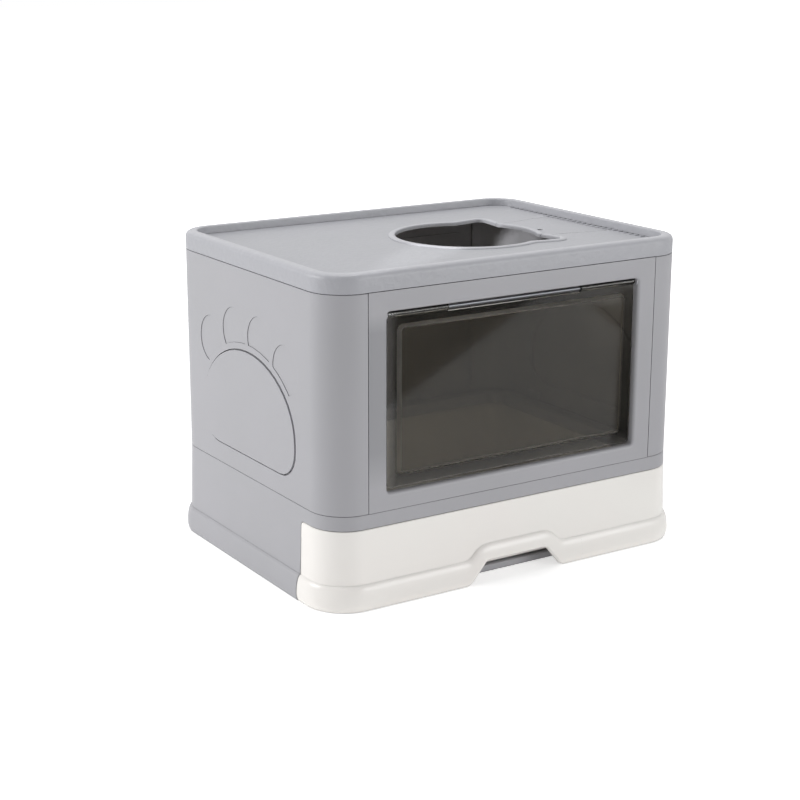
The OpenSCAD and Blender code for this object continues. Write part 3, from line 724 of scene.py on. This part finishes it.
smoke = make_smoke(
    "smoked_clear",
    tint=srgb(168, 161, 146),
    rim_tint=srgb(116, 112, 103),
    wall_haze_and_highlight=srgb(196, 190, 176),
    edge_painted_light=srgb(250, 249, 246),
)
print("clear plastic:", smoke.name)

# %% [markdown]
# ## Steel
#
# The flap's rod and the hatch's pin are drawn wire: bright, with fine lines along the length.
# Noise that is stretched along the wire gives both its tone and its gloss.

# %% Drawn steel
LINES_ACROSS = 4000
LINES_ALONG = 40
STEEL_DARK = srgb(98, 100, 104)
STEEL_LIGHT = srgb(128, 130, 134)
STEEL_GLOSS = (0.3, 0.45)


def make_steel(name, along):
    """Bright drawn wire; along is the axis that its lines follow, 0 for X and 1 for Y."""
    mat, nt, bsdf = new_material(name, Metallic=1.0)
    coords = nt.nodes.new("ShaderNodeTexCoord")
    scale = [LINES_ACROSS] * 3
    scale[along] = LINES_ALONG
    stretch = add_node(nt, "ShaderNodeMapping", Scale=scale)
    lines = add_node(nt, "ShaderNodeTexNoise", Scale=1.0, Detail=3.0)
    nt.links.new(coords.outputs["Object"], stretch.inputs["Vector"])
    nt.links.new(stretch.outputs["Vector"], lines.inputs["Vector"])
    color = mix_colors(nt, lines.outputs["Fac"], STEEL_DARK, STEEL_LIGHT)
    nt.links.new(color, bsdf.inputs["Base Color"])
    gloss = map_range(nt, lines.outputs["Fac"], 0.0, 1.0, *STEEL_GLOSS)
    nt.links.new(gloss, bsdf.inputs["Roughness"])
    return mat


rod_steel = make_steel("drawn_steel_rod", 0)
pin_steel = make_steel("drawn_steel_pin", 1)
print("steel:", rod_steel.name, pin_steel.name)

# %% [markdown]
# ## Mouldings
#
# The frame's solids have the right shape, but their meshes are loose triangles, and the rolled
# skirt and the lip are made of flat strips. So each moulding is a welded copy of its node:
# doubles are merged, flat triangles are joined to whole faces, and the strips are shaded
# smooth, while the sharp edges stay sharp. The copy stands for its node and rides on the same
# body.

# %% Welded copy
WELD_REACH = 0.000002
FLAT_ANGLE = math.radians(0.4)
SMOOTH_ANGLE = math.radians(28)


def select_only(obj):
    """Makes obj the one selected and active object."""
    bpy.ops.object.select_all(action="DESELECT")
    obj.select_set(True)
    bpy.context.view_layer.objects.active = obj


def welded_copy(node, name, body, material):
    """A welded and smoothly shaded copy of a frame node, which replaces it."""
    piece = bpy.data.objects.new(name, nodes[node].data.copy())
    bpy.context.scene.collection.objects.link(piece)
    select_only(piece)
    bpy.ops.object.mode_set(mode="EDIT")
    bpy.ops.mesh.customdata_custom_splitnormals_clear()
    bpy.ops.mesh.select_all(action="SELECT")
    bpy.ops.mesh.remove_doubles(threshold=WELD_REACH)
    bpy.ops.mesh.dissolve_limited(angle_limit=FLAT_ANGLE)
    bpy.ops.object.mode_set(mode="OBJECT")
    piece.data.materials.clear()
    piece.data.materials.append(material)
    bpy.ops.object.shade_smooth_by_angle(angle=SMOOTH_ANGLE)
    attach(piece, body)
    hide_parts(node)
    print(name, len(piece.data.polygons), "faces")
    return piece


# %% Body mouldings
for node, name, plastic in (
    ("base_frame", "base_moulding", base_grey),
    ("left_side_shell", "left_side_moulding", body_grey),
    ("right_side_shell", "right_side_moulding", body_grey),
    ("front_panel", "window_panel_moulding", panel_grey),
    ("rear_panel", "rear_panel_moulding", body_grey),
):
    welded_copy(node, name, "box", plastic)

# %% Drawer, lid, hatch, flap and wires
welded_copy("drawer", "drawer_moulding", "drawer_body", drawer_white)
welded_copy("lid", "lid_moulding", "lid_body", lid_grey)
welded_copy("lid_hatch", "lid_hatch_moulding", "hatch", hatch_grey)
welded_copy("flap_door", "flap_moulding", "flap", smoke)
welded_copy("flap_rod", "flap_rod_wire", "box", rod_steel)
welded_copy("hatch_pin", "hatch_pin_wire", "lid_body", pin_steel)

# %% [markdown]
# ## Finish
#
# The colours are shown as they are written.

bpy.context.scene.view_settings.view_transform = "Standard"
